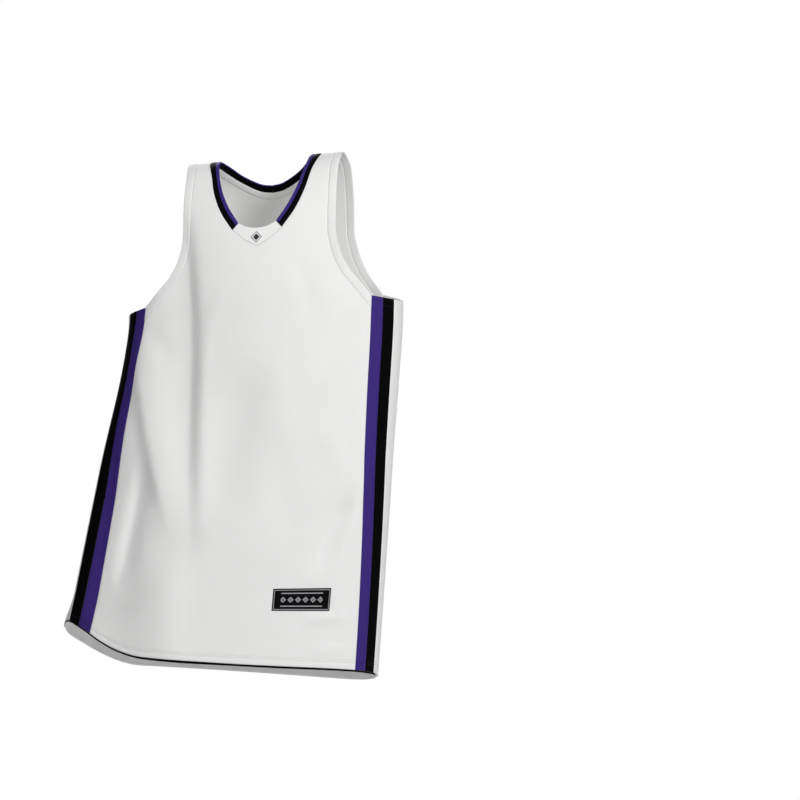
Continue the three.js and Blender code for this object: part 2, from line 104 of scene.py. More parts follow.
# Folds: back?, across, down, to across, to down, width on the line's left and on its right,
# height (ridges are positive)
FOLDS = np.array([
    (0, -122, 50, -66, 575, 42, 16, -10),
    (0, -183, 275, -92, 560, 17, 42, 8.5),
    (0, -150, 462, -170, 650, 11, 21, -7),
    (0, -13, 320, -16, 540, 34, 42, -7),
    (0, 174, 520, 128, 616, 15, 19, -8),
    (0, 162, 241, 102, 341, 18, 18, -3.5),
    (0, -166, 243, -127, 306, 16, 16, -2),
    (0, -92, 590, -84, 790, 54, 44, 8),
    (0, -200, 420, -206, 790, 22, 66, -10),
    (0, -58, 620, -52, 745, 24, 28, -2.5),
    (0, 40, 300, 66, 430, 30, 34, 2.5),
    (0, 118, 400, 176, 505, 22, 16, 3),
    (1, 98, 160, 82, 560, 18, 30, -7),
    (1, -176, 300, -90, 500, 17, 30, 5),
    (1, -20, 420, -40, 650, 26, 26, -4),
], float)

# Finer creases of the same kind
CREASES = np.array([
    (0, 188, 540, 150, 628, 7, 9, 2.2),
    (0, 116, 693, 194, 688, 7, 8, 2.8),
    (0, 130, 734, 194, 732, 6, 6, 2),
    (0, -72, 250, -48, 540, 12, 12, 1.8),
    (0, 48, 430, 96, 600, 24, 24, -2),
    (0, -60, 640, -150, 690, 12, 14, 1.6),
    (0, 60, 150, 96, 260, 15, 15, -1.4),
    (0, -40, 180, -70, 260, 13, 13, 1.2),
    (0, 110, 560, 60, 640, 14, 16, 1.5),
    (1, 150, 330, 175, 520, 12, 12, 2.2),
    (1, -140, 200, -118, 330, 12, 12, -2.2),
    (1, 40, 230, 10, 470, 18, 18, 2),
    (1, 172, 560, 128, 660, 10, 10, -2.4),
    (1, -168, 600, -120, 700, 10, 10, 2.2),
    (1, 30, 640, 120, 720, 12, 12, 1.6),
], float)

# Label on the front, near the hem: across and down of its sides
LABEL = {"across": (67.0, 156.0), "down": (648.0, 680.0)}


def smooth(start, end, value):
    """0 before start and 1 after end, with the cubic 3t^2 - 2t^3 between them."""
    t = np.clip((np.asarray(value, float) - start) / (end - start), 0, 1)
    return t * t * (3 - 2 * t)


def column(table, index, down):
    """A table's column at a distance down: a Hermite cubic between rows, whose slope at a
    row is the harmonic mean of the slopes beside it, or 0 where they change sign."""
    rows, values = table[:, 0], table[:, index]
    slopes = np.diff(values) / np.diff(rows)
    before, after = slopes[:-1], slopes[1:]
    product = before * after
    total = np.where(before + after == 0, 1, before + after)
    tangents = np.concatenate([slopes[:1], np.where(product <= 0, 0, 2 * product / total), slopes[-1:]])
    down = np.asarray(down, float)
    k = np.clip(np.searchsorted(rows, down, side="left") - 1, 0, len(rows) - 2)
    span = rows[k + 1] - rows[k]
    t = np.clip((down - rows[k]) / span, 0, 1)
    t2, t3 = t * t, t * t * t
    return ((2 * t3 - 3 * t2 + 1) * values[k] + (t3 - 2 * t2 + t) * span * tangents[k]
            + (3 * t2 - 2 * t3) * values[k + 1] + (t3 - t2) * span * tangents[k + 1])


def oval(down, back):
    """A quarter of the body's oval at each level: a wide arc that runs into a side arc of
    SIDE_RADIUS. Gives half width, depth, turn of the wide arc, its radius and length, and
    the length of the whole quarter."""
    level = np.maximum(down, CHEST_DOWN)
    half = column(BODY, 1, level)
    depth = np.where(back, column(BODY, 3, level), column(BODY, 2, level))
    turn = 2 * np.arctan((depth - SIDE_RADIUS) / (half - SIDE_RADIUS))
    radius = (half - SIDE_RADIUS) / np.sin(turn) + SIDE_RADIUS
    length = radius * turn
    return half, depth, turn, radius, length, length + SIDE_RADIUS * (np.pi / 2 - turn)


def across_at(half_width, back):
    """Length along the chest's oval from the centre to a half width."""
    half, depth, turn, radius, length, quarter = oval(0.0, back)
    size = np.abs(half_width)
    wide = radius * np.arcsin(np.clip(size / radius, 0, 1))
    sine = np.clip((size - (half - SIDE_RADIUS)) / SIDE_RADIUS, -1, 1)
    round_side = length + SIDE_RADIUS * (np.arcsin(sine) - turn)
    return np.sign(half_width) * np.where(size <= radius * np.sin(turn), wide, round_side)


def side_seam(down, back):
    """Distance across of the seam between a panel and the purple stripe."""
    return oval(down, back)[5] - SIDE_HALF


SHOULDER_RISE = CHEST_DOWN * np.pi / 2


def down_of(rise):
    """Distance down at a height along the cloth: plain under the chest, and above it the
    sine of the angle on the quarter ellipse that closes over the shoulder."""
    return np.where(rise <= 0, CHEST_DOWN - rise, CHEST_DOWN * (1 - np.sin(np.maximum(rise, 0) / CHEST_DOWN)))


def rise_of(down):
    """The reverse of down_of."""
    down = np.asarray(down, float)
    sine = np.clip(1 - np.maximum(down, 0) / CHEST_DOWN, -1, 1)
    return np.where(down >= CHEST_DOWN, CHEST_DOWN - down, CHEST_DOWN * np.arcsin(sine))


def fold_height(across, down, back):
    """Sum of the folds: a bell across each fold's line, with a width on either side of it,
    faded at both of its ends, at the side lines and near the shoulders, and a long dent
    in the side panel on the wearer's right."""
    height = np.zeros(np.broadcast(across, down).shape)
    for is_back, a, d, to_a, to_d, left, right, size in np.vstack([FOLDS, CREASES]):
        run_a, run_d = to_a - a, to_d - d
        length = math.hypot(run_a, run_d)
        along = ((across - a) * run_a + (down - d) * run_d) / length
        off = ((across - a) * run_d - (down - d) * run_a) / length
        share = along / length
        width = np.where(off > 0, right, left)
        fade = smooth(-0.15, 0.3, share) * (1 - smooth(0.7, 1.15, share))
        height += np.where(np.equal(back, bool(is_back)), size * fade * np.exp(-((off / width) ** 2)), 0)
    from_side = oval(down, back)[5] - np.abs(across)
    dent = np.where(across < 0, SIDE_DENT * np.exp(-((from_side / SIDE_DENT_WIDTH) ** 2)), 0)
    dent *= smooth(215, 260, down) * (1 - smooth(700, 758, down))
    return height * smooth(4, 60, from_side) * smooth(30, 120, down) - dent


def hang(x, y, down):
    """The body as it hangs: tilted and shifted level by level, twisted towards the hem,
    longer behind, sooner so at the hem's corner on the wearer's right, which is lifted."""
    low = smooth(300, HEM_DOWN, down)
    outward = np.clip((-x - HEM_LIFT_FROM) / (HEM_LIFT_TO - HEM_LIFT_FROM), 0, 1.2)
    start, end = 40 * outward - 110, 110 - 70 * outward
    tail = BACK_TAIL * smooth(0, 1, (y - start) / (end - start))
    rise = column(HANG, 1, down) * x / 100
    twist = HEM_TWIST * smooth(250, HEM_DOWN, down)
    return np.stack([
        x * np.cos(twist) - y * np.sin(twist) + column(HANG, 2, down),
        x * np.sin(twist) + y * np.cos(twist),
        rise - down + low * (HEM_LIFT * outward * outward - tail),
    ], -1)


def body_point(across, rise, back):
    """Point of the smooth body: on the oval of its level, whose depth shrinks as a cosine
    above the chest, and then hung."""
    across, rise, back = np.broadcast_arrays(np.asarray(across, float), np.asarray(rise, float), back)
    down = down_of(rise)
    half, depth, turn, radius, length, quarter = oval(down, back)
    size = np.abs(across)
    angle = turn + (size - length) / SIDE_RADIUS
    round_side = size > length
    x = np.where(round_side, half - SIDE_RADIUS + SIDE_RADIUS * np.sin(angle), radius * np.sin(size / radius))
    y = np.where(round_side, -SIDE_RADIUS * np.cos(angle), radius - depth - radius * np.cos(size / radius))
    closing = np.where(rise <= 0, 1.0, np.cos(np.maximum(rise, 0) / CHEST_DOWN))
    return hang(np.where(across < 0, -x, x), np.where(back, -y, y) * closing, down)


def normal_of(surface, across, rise, back, step=0.5):
    """Outward unit normal: the cross product of central differences along the surface."""
    sideways = surface(across + step, rise, back) - surface(across - step, rise, back)
    upwards = surface(across, rise + step, back) - surface(across, rise - step, back)
    normal = np.cross(sideways, upwards)
    normal /= np.maximum(np.linalg.norm(normal, axis=-1, keepdims=True), 1e-9)
    return np.where(np.asarray(back)[..., None], -normal, normal)


def cloth_point(across, rise, back):
    """Body point moved out along the smooth body's normal by the folds' height."""
    height = fold_height(across, down_of(rise), back)
    return body_point(across, rise, back) + height[..., None] * normal_of(body_point, across, rise, back)


def cloth_spots(across, rise, back):
    """Points of the cloth and their outward normals."""
    across, rise, back = np.broadcast_arrays(np.asarray(across, float), np.asarray(rise, float), back)
    return cloth_point(across, rise, back), normal_of(cloth_point, across, rise, back)


def curve_through(points, t):
    """Centripetal Catmull-Rom curve through (down, half width) points, at t from 0 to 1 in
    even shares of its spans. Gives down and half width."""
    points = np.array(points, float)
    ends = np.vstack([2 * points[0] - points[1], points, 2 * points[-1] - points[-2]])
    place = np.clip(np.asarray(t, float), 0, 1) * (len(points) - 1)
    k = np.minimum(place.astype(int), len(points) - 2)
    w = (place - k)[..., None]
    p0, p1, p2, p3 = (ends[k + j] for j in range(4))
    d0, d1, d2 = (np.sqrt(np.linalg.norm(b - a, axis=-1, keepdims=True))
                  for a, b in ((p0, p1), (p1, p2), (p2, p3)))
    m1 = ((p1 - p0) / d0 - (p2 - p0) / (d0 + d1) + (p2 - p1) / d1) * d1
    m2 = ((p2 - p1) / d1 - (p3 - p1) / (d1 + d2) + (p3 - p2) / d2) * d1
    w2, w3 = w * w, w * w * w
    point = ((2 * w3 - 3 * w2 + 1) * p1 + (w3 - 2 * w2 + w) * m1
             + (3 * w2 - 2 * w3) * p2 + (w3 - w2) * m2)
    return np.maximum(point[..., 0], 0), np.maximum(point[..., 1], 0)


INSERT_SHARE = 3 / 9      # share of the neck's columns, from the centre, that the insert takes


def neck_curve(line, back, t):
    """Seam or opening of the neck, from the shoulder at t = 0 to the centre at t = 1: the
    collar's curve and then, in front, the insert's."""
    if back:
        return curve_through(NECK[f"back_{line}"], t)
    collar_end = 1 - INSERT_SHARE
    first = curve_through(NECK[f"front_{line}"], t / collar_end)
    last = curve_through(NECK[f"insert_{line}"], (t - collar_end) / INSERT_SHARE)
    return tuple(np.where(t <= collar_end, a, b) for a, b in zip(first, last))


def arm_seam(down, back):
    """Distance across of a panel's edge above the yoke line, eased into the side seam."""
    table = ARM_SEAM_BACK if back else ARM_SEAM_FRONT
    share = smooth(ARM_BLEND_FROM, YOKE_DOWN, down)
    miss = side_seam(YOKE_DOWN, back) - across_at(table[-1, 1], back)
    return across_at(column(table, 1, down), back) + share * miss


def with_margins(values, first=(), last=()):
    """The values with more lines close to the first one and close to the last one."""
    start, end = values[0], values[-1]
    sign = 1 if end > start else -1
    extra = [start + sign * f for f in first] + [end - sign * f for f in last]
    return np.array(sorted(set(np.round(np.concatenate([values, extra]), 6)), reverse=sign < 0))


def rolled(count, first=True, last=True, edge=(0.1, 0.62, 0.92)):
    """A wall's thickness along its lines: full, but tapering over the last three lines of
    an end that is turned in at a seam."""
    shape = np.ones(count)
    if first:
        shape[:3] = edge
    if last:
        shape[-3:] = edge[::-1]
    return shape


HEM_ROWS = (12.5, 9.3)      # heights of the two rows of stitches above the hem
GROOVE = 0.7                # half width of the groove that a row of stitches pulls into the cloth


def groove_lines(*more):
    """Distances above the hem of the lines that carry the grooves."""
    return tuple(more) + tuple(row + step for row in sorted(HEM_ROWS) for step in (-GROOVE, 0, GROOVE))


def grooved(down):
    """Share of the wall's thickness left at a level: a bell-shaped dip at each row of stitches."""
    up = HEM_DOWN - np.asarray(down)
    return 1 - 0.5 * sum(np.exp(-(((up - row) / (GROOVE * 0.6)) ** 2)) for row in HEM_ROWS)


# Meshes

def new_object(name, points, faces, uvs, finish):
    """A mesh object from points in millimetres, faces, and a corner UV in metres."""
    mesh = bpy.data.meshes.new(name)
    mesh.from_pydata((np.asarray(points) * MM).tolist(), [], np.asarray(faces).tolist())
    layer = mesh.uv_layers.new(name="UVMap")
    corners = np.empty(len(mesh.loops), dtype=np.int32)
    mesh.loops.foreach_get("vertex_index", corners)
    layer.data.foreach_set("uv", (np.asarray(uvs) * MM)[corners].astype(np.float32).ravel())
    mesh.polygons.foreach_set("use_smooth", np.full(len(mesh.polygons), True))
    mesh.materials.append(finish)
    mesh.validate()
    mesh.update()
    obj = bpy.data.objects.new(name, mesh)
    bpy.context.scene.collection.objects.link(obj)
    return obj


def wall(name, points, normals, uv, lower, upper, finish):
    """A closed wall over a grid: the points moved along their normals to upper and lower,
    joined round the grid's border. The attribute inner is 1 on the garment's inner side."""
    rows, columns = points.shape[:2]
    upper, lower = (np.broadcast_to(h, (rows, columns))[..., None] for h in (upper, lower))
    corners = np.vstack([(points + normals * h).reshape(-1, 3) for h in (upper, lower)])
    index = np.arange(rows * columns).reshape(rows, columns)
    a, b, c, d = index[:-1, :-1], index[:-1, 1:], index[1:, 1:], index[1:, :-1]
    outside = np.stack([a, b, c, d], -1).reshape(-1, 4)
    inside = np.stack([a, d, c, b], -1).reshape(-1, 4) + rows * columns
    ring = np.concatenate([index[0, :], index[1:, -1], index[-1, -2::-1], index[-2:0:-1, 0]])
    after = np.roll(ring, -1)
    border = np.stack([after, ring, ring + rows * columns, after + rows * columns], -1)
    faces = np.vstack([outside, inside, border])
    volume = np.einsum("ij,ij->i", corners[outside[:, 0]] - corners[inside[:, 0]],
                       np.cross(corners[outside[:, 1]] - corners[outside[:, 0]],
                                corners[outside[:, 3]] - corners[outside[:, 0]]))
    if np.sum(volume) < 0:
        faces = faces[:, ::-1]
    uvs = np.tile(uv.reshape(-1, 2), (2, 1))
    obj = new_object(name, corners, faces, uvs, finish)
    inner = obj.data.attributes.new("inner", "FLOAT", "POINT")
    inner.data.foreach_set("value", np.repeat([0.0, 1.0], rows * columns).astype(np.float32))
    return obj


def stitch_row(centres, forwards, normals, length, width, height):
    """Points and faces of a row of stitches: each a little capsule along the seam, sunk at
    both ends, from five rings of six points scaled and placed as whole arrays."""
    along = np.linspace(-1, 1, 5)
    size = np.sqrt(np.maximum(1 - np.abs(along) ** 3, 0.04))
    angle = np.linspace(0, 2 * np.pi, 6, endpoint=False)
    sideways = np.cross(normals, forwards)
    ring_a = (along * length / 2)[:, None] + 0 * angle
    ring_b = size[:, None] * np.cos(angle) * width / 2
    ring_c = size[:, None] * np.sin(angle) * height - (0.35 * height) * (np.abs(along) ** 2)[:, None]
    points = (centres[:, None, None] + ring_a[None, ..., None] * forwards[:, None, None]
              + ring_b[None, ..., None] * sideways[:, None, None]
              + ring_c[None, ..., None] * normals[:, None, None])
    count, rings, sides = points.shape[:3]
    k = np.arange(rings * sides).reshape(rings, sides)
    a, b = k[:-1], np.roll(k[:-1], -1, 1)
    c, d = np.roll(k[1:], -1, 1), k[1:]
    quads = np.stack([a, b, c, d], -1).reshape(-1, 4)
    caps = np.array([k[0, [0, 5, 4, 3]], k[0, [3, 2, 1, 0]], k[-1, [0, 1, 2, 3]], k[-1, [3, 4, 5, 0]]])
    faces = np.vstack([quads, caps])[None] + (np.arange(count) * rings * sides)[:, None, None]
    return points.reshape(-1, 3), faces.reshape(-1, 4)


def stitches(name, lines, finish, length, width, spacing, lift):
    """Rows of stitches joined as one mesh. Each line gives across, rise and back along the
    seam, and the cloth's points there are resampled at even spacing."""
    all_points, all_faces, offset = [], [], 0
    for across, rise, back in lines:
        points, normals = cloth_spots(across, rise, back)
        steps = np.linalg.norm(np.diff(points, axis=0), axis=1)
        travelled = np.concatenate([[0], np.cumsum(steps)])
        count = max(int(travelled[-1] / spacing), 2)
        stops = (np.arange(count) + 0.5) * travelled[-1] / count
        centres = np.stack([np.interp(stops, travelled, points[:, j]) for j in range(3)], -1)
        up = np.stack([np.interp(stops, travelled, normals[:, j]) for j in range(3)], -1)
        ahead = np.stack([np.interp(stops + 0.5, travelled, points[:, j]) for j in range(3)], -1)
        behind = np.stack([np.interp(stops - 0.5, travelled, points[:, j]) for j in range(3)], -1)
        forwards = ahead - behind
        up /= np.linalg.norm(up, axis=1, keepdims=True)
        forwards /= np.linalg.norm(forwards, axis=1, keepdims=True)
        row, faces = stitch_row(centres + up * lift, forwards, up, length, width, width * 0.55)
        all_points.append(row)
        all_faces.append(faces + offset)
        offset += len(row)
    points = np.vstack(all_points)
    return new_object(name, points, np.vstack(all_faces), points[:, [0, 2]], finish)


# Materials

class Term:
    """A value of a material's nodes, with which arithmetic can be written."""

    def __init__(self, finish, socket):
        self.finish = finish
        self.socket = socket

    def maths(self, operation, *others):
        terms = (self, *others)
        node = self.finish.add("ShaderNodeMath", {"operation": operation}, dict(enumerate(terms)))
        return Term(self.finish, node.outputs[0])

    def __add__(self, other):
        return self.maths("ADD", other)

    def __sub__(self, other):
        return self.maths("SUBTRACT", other)

    def __mul__(self, other):
        return self.maths("MULTIPLY", other)

    def __rsub__(self, other):
        return self.maths("MULTIPLY", -1.0).maths("ADD", other)

    __radd__ = __add__
    __rmul__ = __mul__

    def sine(self):
        return self.maths("SINE")

    def size(self):
        return self.maths("ABSOLUTE")

    def over(self, limit):
        return self.maths("GREATER_THAN", limit)

    def most(self, other):
        return self.maths("MAXIMUM", other)

    def ramp(self, start, end):
        """0 before start, 1 after end."""
        settings = {"interpolation_type": "SMOOTHSTEP"}
        node = self.finish.add("ShaderNodeMapRange", settings, {0: self, 1: start, 2: end, 3: 0.0, 4: 1.0})
        return Term(self.finish, node.outputs[0])


class Finish:
    """A node material for one finish of the garment."""

    def __init__(self, name):
        self.material = bpy.data.materials.new(name)
        self.material.use_nodes = True
        self.tree = self.material.node_tree
        self.tree.nodes.clear()
        self.shader = self.add("ShaderNodeBsdfPrincipled", {}, {})
        output = self.add("ShaderNodeOutputMaterial", {}, {})
        self.tree.links.new(self.shader.outputs[0], output.inputs[0])

    def add(self, kind, settings, inputs):
        """A node of that kind, with its settings made first and then its sockets' values or links."""
        node = self.tree.nodes.new(kind)
        for key, value in settings.items():
            setattr(node, key, value)
        for key, value in inputs.items():
            self.feed(node.inputs[key], value)
        return node

    def feed(self, socket, value):
        if isinstance(value, Term):
            value = value.socket
        if isinstance(value, bpy.types.NodeSocket):
            self.tree.links.new(value, socket)
        elif hasattr(value, "__len__") and len(value) == 3 and len(socket.default_value) == 4:
            socket.default_value = (*value, 1)
        else:
            socket.default_value = value

    def place(self):
        """The cloth's own coordinates from its UV map, in metres."""
        node = self.add("ShaderNodeUVMap", {"uv_map": "UVMap"}, {})
        split = self.add("ShaderNodeSeparateXYZ", {}, {0: node.outputs[0]})
        return Term(self, split.outputs[0]), Term(self, split.outputs[1])

    def noise(self, scale, detail=2.0, stretch=(1, 1, 1)):
        """Noise over the object's own coordinates."""
        where = self.add("ShaderNodeTexCoord", {}, {}).outputs["Object"]
        mapped = self.add("ShaderNodeMapping", {}, {0: where, "Scale": stretch})
        sockets = {"Vector": mapped.outputs[0], "Scale": scale, "Detail": detail}
        node = self.add("ShaderNodeTexNoise", {}, sockets)
        return Term(self, node.outputs[0])

    def blend(self, share, first, second):
        """A colour between two, by share."""
        node = self.add("ShaderNodeMix", {"data_type": "RGBA"}, {})
        for socket, value in ((node.inputs[0], share), (node.inputs[6], first), (node.inputs[7], second)):
            self.feed(socket, value)
        return node.outputs[2]

    def finish(self, colour, roughness, height=None, depth=0.0002, strength=0.6, **constants):
        """Connects colour, roughness and bump, and sets the shader's constants."""
        self.feed(self.shader.inputs["Base Color"], colour)
        self.feed(self.shader.inputs["Roughness"], roughness)
        if height is not None:
            bump = self.add("ShaderNodeBump", {}, {"Strength": strength, "Distance": depth, "Height": height})
            self.feed(self.shader.inputs["Normal"], bump.outputs[0])
        for key, value in constants.items():
            self.shader.inputs[key.replace("_", " ")].default_value = value
        return self.material


TURN = 2 * math.pi


def darker(colour, share):
    return tuple(channel * share for channel in colour)


def mesh_knit(name, colour, sheen, hole_shade=0.9):
    """Fine sports mesh: rows of pin holes in a staggered lattice over a smooth knit. The
    lattice is the product of two cosines, whose crests are the holes. The holes are
    painted darker as painted shade, and a random cloud varies the knit's tone."""
    finish = Finish(name)
    u, v = finish.place()
    lattice = (u * (TURN / 0.0026)).sine() * (v * (TURN / 0.0030)).sine()
    holes = lattice.ramp(0.35, 0.85)
    loops = (u * (TURN / 0.0007)).sine() * 0.25
    cloud = finish.noise(14.0, 3.0)
    # Painted shade in the pin holes, added to a random cloud of tone
    shade = holes * 0.8 + cloud.ramp(0.35, 0.75) * 0.18
    base = finish.blend(shade, colour, darker(colour, hole_shade))
    rough = 0.62 + cloud * 0.18
    return finish.finish(base, rough, loops - holes, depth=0.00012, strength=0.35,
                         Sheen_Weight=sheen, Sheen_Roughness=0.45, Specular_IOR_Level=0.25)


def smooth_knit(name, colour, sheen, specular, roughness=0.55, inner_colour=None):
    """Close jersey knit: fine vertical wales crossed by fainter courses. A printed knit has
    another colour on its inner side."""
    finish = Finish(name)
    u, v = finish.place()
    wales = (u * (TURN / 0.0012)).sine() + (v * (TURN / 0.0009)).sine() * 0.5
    cloud = finish.noise(18.0, 3.0, (1, 1, 0.35))
    base = finish.blend(cloud.ramp(0.3, 0.8) * 0.5, colour, darker(colour, 0.72))
    if inner_colour:
        inner = finish.add("ShaderNodeAttribute", {"attribute_name": "inner"}, {}).outputs["Fac"]
        base = finish.blend(inner, base, inner_colour)
    rough = roughness + cloud * 0.15
    return finish.finish(base, rough, wales, depth=0.0001, strength=0.3,
                         Sheen_Weight=sheen, Sheen_Roughness=0.4, Specular_IOR_Level=specular)


def rib_knit(name, colour, sheen, specular):
    """Rib knit of a band: round ribs across it, at even spacing along it, with painted shade that darkens the
    grooves between the ribs.
    """
    finish = Finish(name)
    u, v = finish.place()
    ribs = (u * (TURN / 2 / 0.0017)).sine().size()
    grooves = 1 - ribs.ramp(0.0, 0.55)
    cloud = finish.noise(25.0, 2.0)
    # Painted shade: the grooves between the ribs take a darker colour
    base = finish.blend(grooves * 0.45, colour, darker(colour, 0.45))
    return finish.finish(base, 0.55 + cloud * 0.15, ribs, depth=0.0003, strength=0.5,
                         Sheen_Weight=sheen, Sheen_Roughness=0.4, Specular_IOR_Level=specular)


def thread(name, colour):
    """Twisted sewing thread: slanted plies along each stitch, with painted shade that darkens the colour in
    slanted bands along the plies.
    """
    finish = Finish(name)
    u, v = finish.place()
    plies = ((u + v) * (TURN / 0.0006)).sine()
    # Painted shade: slanted darker bands that follow the plies
    base = finish.blend(plies.ramp(-1.0, 1.0) * 0.4, colour, darker(colour, 0.75))
    return finish.finish(base, 0.5, plies, depth=0.00008, strength=0.4, Specular_IOR_Level=0.4)


def label_weave(name, ground, line):
    """Woven label: a dark ground, a thin pale border inside its edge, a row of small
    lozenges in the middle and a bar above and below them."""
    finish = Finish(name)
    u, v = finish.place()
    width = (LABEL["across"][1] - LABEL["across"][0]) * MM
    height = (LABEL["down"][1] - LABEL["down"][0]) * MM
    x = (u - width / 2).size()
    y = (v - height / 2).size()
    inset = (x - (width / 2 - 0.0022)).most(y - (height / 2 - 0.0022)).size()
    border = 1 - inset.ramp(0.00035, 0.0006)
    pitch = 0.0115
    cell = (u - (width / 2 - pitch / 2)).maths("PINGPONG", pitch / 2)
    lozenge = 1 - (cell * 0.9 + y).ramp(0.0040, 0.0044)
    hollow = (cell * 0.9 + y).ramp(0.0020, 0.0024)
    solid = 1 - (cell * 0.9 + y).ramp(0.0009, 0.0013)
    within = 1 - x.over(width / 2 - 0.0125)
    motif = (lozenge * hollow).most(solid) * within
    bar = (1 - (y - 0.0092).size().ramp(0.0006, 0.0009)) * within
    marks = border.most(motif).most(bar)
    weave = (u * (TURN / 0.0005)).sine() * (v * (TURN / 0.0005)).sine()
    base = finish.blend(marks, ground, line)
    return finish.finish(base, 0.6, weave + marks * 2.0, depth=0.0001, strength=0.4,
                         Specular_IOR_Level=0.06)


def neck_insert(name, colour, mark):
    """The white insert: fine knit with one small lozenge mark at its middle, an outline
    with a smaller lozenge inside it."""
    finish = Finish(name)
    u, v = finish.place()
    away = u.size() * 1.15 + (v + 0.0022).size()
    outline = (1 - away.ramp(0.0094, 0.0099)) * away.ramp(0.0079, 0.0084)
    heart = 1 - away.ramp(0.0056, 0.0060)
    inner = Term(finish, finish.add("ShaderNodeAttribute", {"attribute_name": "inner"}, {}).outputs["Fac"])
    marks = outline.most(heart) * (1 - inner)
    wales = (u * (TURN / 0.0012)).sine() + (v * (TURN / 0.0009)).sine() * 0.5
    base = finish.blend(marks, colour, mark)
    return finish.finish(base, 0.6, wales + marks * 1.5, depth=0.0001, strength=0.3,
                         Sheen_Weight=0.15, Sheen_Roughness=0.45, Specular_IOR_Level=0.35)


def floor_finish(name, colour):
    """Seamless studio floor: a faint cloudiness under a matt surface."""
    finish = Finish(name)
    cloud = finish.noise(1.5, 2.0)
    base = finish.blend(cloud.ramp(0.3, 0.7) * 0.1, colour, darker(colour, 0.96))
    return finish.finish(base, 0.85, Specular_IOR_Level=0.2)


_finishes = {}


def finish_of(name):
    """The material of one finish, made the first time that it is asked for."""
    if name not in _finishes:
        cloth = bpy.context.scene.jersey_cloth
        white, purple, black = (tuple(c) for c in (cloth.white, cloth.purple, cloth.black))
        makers = {
            "body_fabric": lambda: mesh_knit("body_knit", white, 0.15),
            "white_binding": lambda: smooth_knit("binding_knit", white, 0.1, 0.35, 0.6),
            "purple_fabric": lambda: smooth_knit("purple_knit", purple, 0.0, 0.12, 0.5, white),
            "black_fabric": lambda: smooth_knit("black_knit", black, 0.0, 0.03, 0.6, white),
            "black_rib": lambda: rib_knit("black_collar_rib", black, 0.0, 0.04),
            "purple_rib": lambda: rib_knit("purple_collar_rib", purple, 0.0, 0.12),
            "label_weave": lambda: label_weave("label_weave", black, (0.36, 0.36, 0.38)),
            "insert": lambda: neck_insert("insert_knit", white, (0.02, 0.02, 0.022)),
            "white_thread": lambda: thread("white_thread", tuple(cloth.thread)),
            "dark_thread": lambda: thread("dark_thread", (0.014, 0.010, 0.030)),
            "purple_thread": lambda: thread("purple_thread", purple),
        }
        _finishes[name] = makers[name]()
    return _finishes[name]


def settle(obj, slot, *nodes):
    """Makes a piece ride with the garment and hides the solids that it stands for. The slot is not used."""
    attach(obj, "root")
    if nodes:
        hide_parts(*nodes)
    return obj


# Pieces

def panel_grid(back, fineness):
    """Across and rise of a panel's lines: straight shares of the width under the yoke line,
    and above it columns that lean to the neck seam and the strap."""
    close = (0.0035, 0.009, 0.018)
    shares = with_margins(np.linspace(-1, 1, 22 * fineness + 1), close, close)
    neck_end = 9 / 11
    t = np.clip(1 - np.abs(shares) / neck_end, 0, 1)
    down, half = neck_curve("seam", back, t)
    neck_across = across_at(half, back)
    strap = np.clip((np.abs(shares) - neck_end) / (1 - neck_end), 0, 1)
    start = across_at(NECK["back_seam"][0][1], back)
    top_rise = SHOULDER_RISE - SEAM_GAP
    on_strap = np.abs(shares) > neck_end
    end_across = np.where(on_strap, start + (arm_seam(0.0, back) - start) * strap, neck_across)
    end_rise = np.where(on_strap, top_rise, np.minimum(rise_of(down) - SEAM_GAP, top_rise))
    end_share = end_across / arm_seam(down_of(end_rise), back)
    low_downs = with_margins(np.linspace(HEM_DOWN, YOKE_DOWN, 18 * fineness + 1), groove_lines(0.7, 1.8, 3.4))
    low_across = shares * (side_seam(low_downs, back) - SEAM_GAP / 2)[:, None]
    low_rise = np.broadcast_to(rise_of(low_downs)[:, None], low_across.shape)
    climbs = with_margins(np.linspace(0, 1, 14 * fineness + 1), (), (0.004, 0.010, 0.018))[1:, None]
    base_rise = rise_of(YOKE_DOWN)
    rise = base_rise + (end_rise - base_rise) * climbs * (0.6 + 0.4 * climbs)
    mix = np.abs(shares) + (end_share - np.abs(shares)) * climbs ** 1.5
    across = np.sign(shares) * mix * (arm_seam(down_of(rise), back) - SEAM_GAP / 2)
    return np.vstack([low_across, across]), np.vstack([low_rise, rise])


def make_panel(name, node, back, fineness):
    across, rise = panel_grid(back, fineness)
    points, normals = cloth_spots(across, rise, back)
    taper = rolled(across.shape[0])[:, None] * rolled(across.shape[1])
    uv = np.stack([across, rise], -1)
    outer = taper * grooved(down_of(rise))
    obj = wall(name, points, normals, uv, -WALL / 2 * taper, WALL / 2 * outer, finish_of("body_fabric"))
    return settle(obj, "body_fabric", node)


def side_top(from_side):
    """Level of a side panel's top, which dips as a cosine under the arm."""
    return ARMHOLE_DOWN + ARMHOLE_DIP * np.cos(from_side / SIDE_HALF * np.pi / 2)


STRIPES = {
    "purple_front": (-SIDE_HALF, -(WHITE_WIDTH / 2 + BLACK_WIDTH), "purple_fabric"),
    "black_front": (-(WHITE_WIDTH / 2 + BLACK_WIDTH), -WHITE_WIDTH / 2, "black_fabric"),
    "white_centre": (-WHITE_WIDTH / 2, WHITE_WIDTH / 2, "body_fabric"),
    "black_back": (WHITE_WIDTH / 2, WHITE_WIDTH / 2 + BLACK_WIDTH, "black_fabric"),
    "purple_back": (WHITE_WIDTH / 2 + BLACK_WIDTH, SIDE_HALF, "purple_fabric"),
}


def side_place(side, from_side, down):
    """Across, rise and back of a point by its distance from the side line and its level."""
    from_side, down = np.broadcast_arrays(np.asarray(from_side, float), np.asarray(down, float))
    back = from_side > 0
    return side * (oval(down, back)[5] - np.abs(from_side)), rise_of(down), back


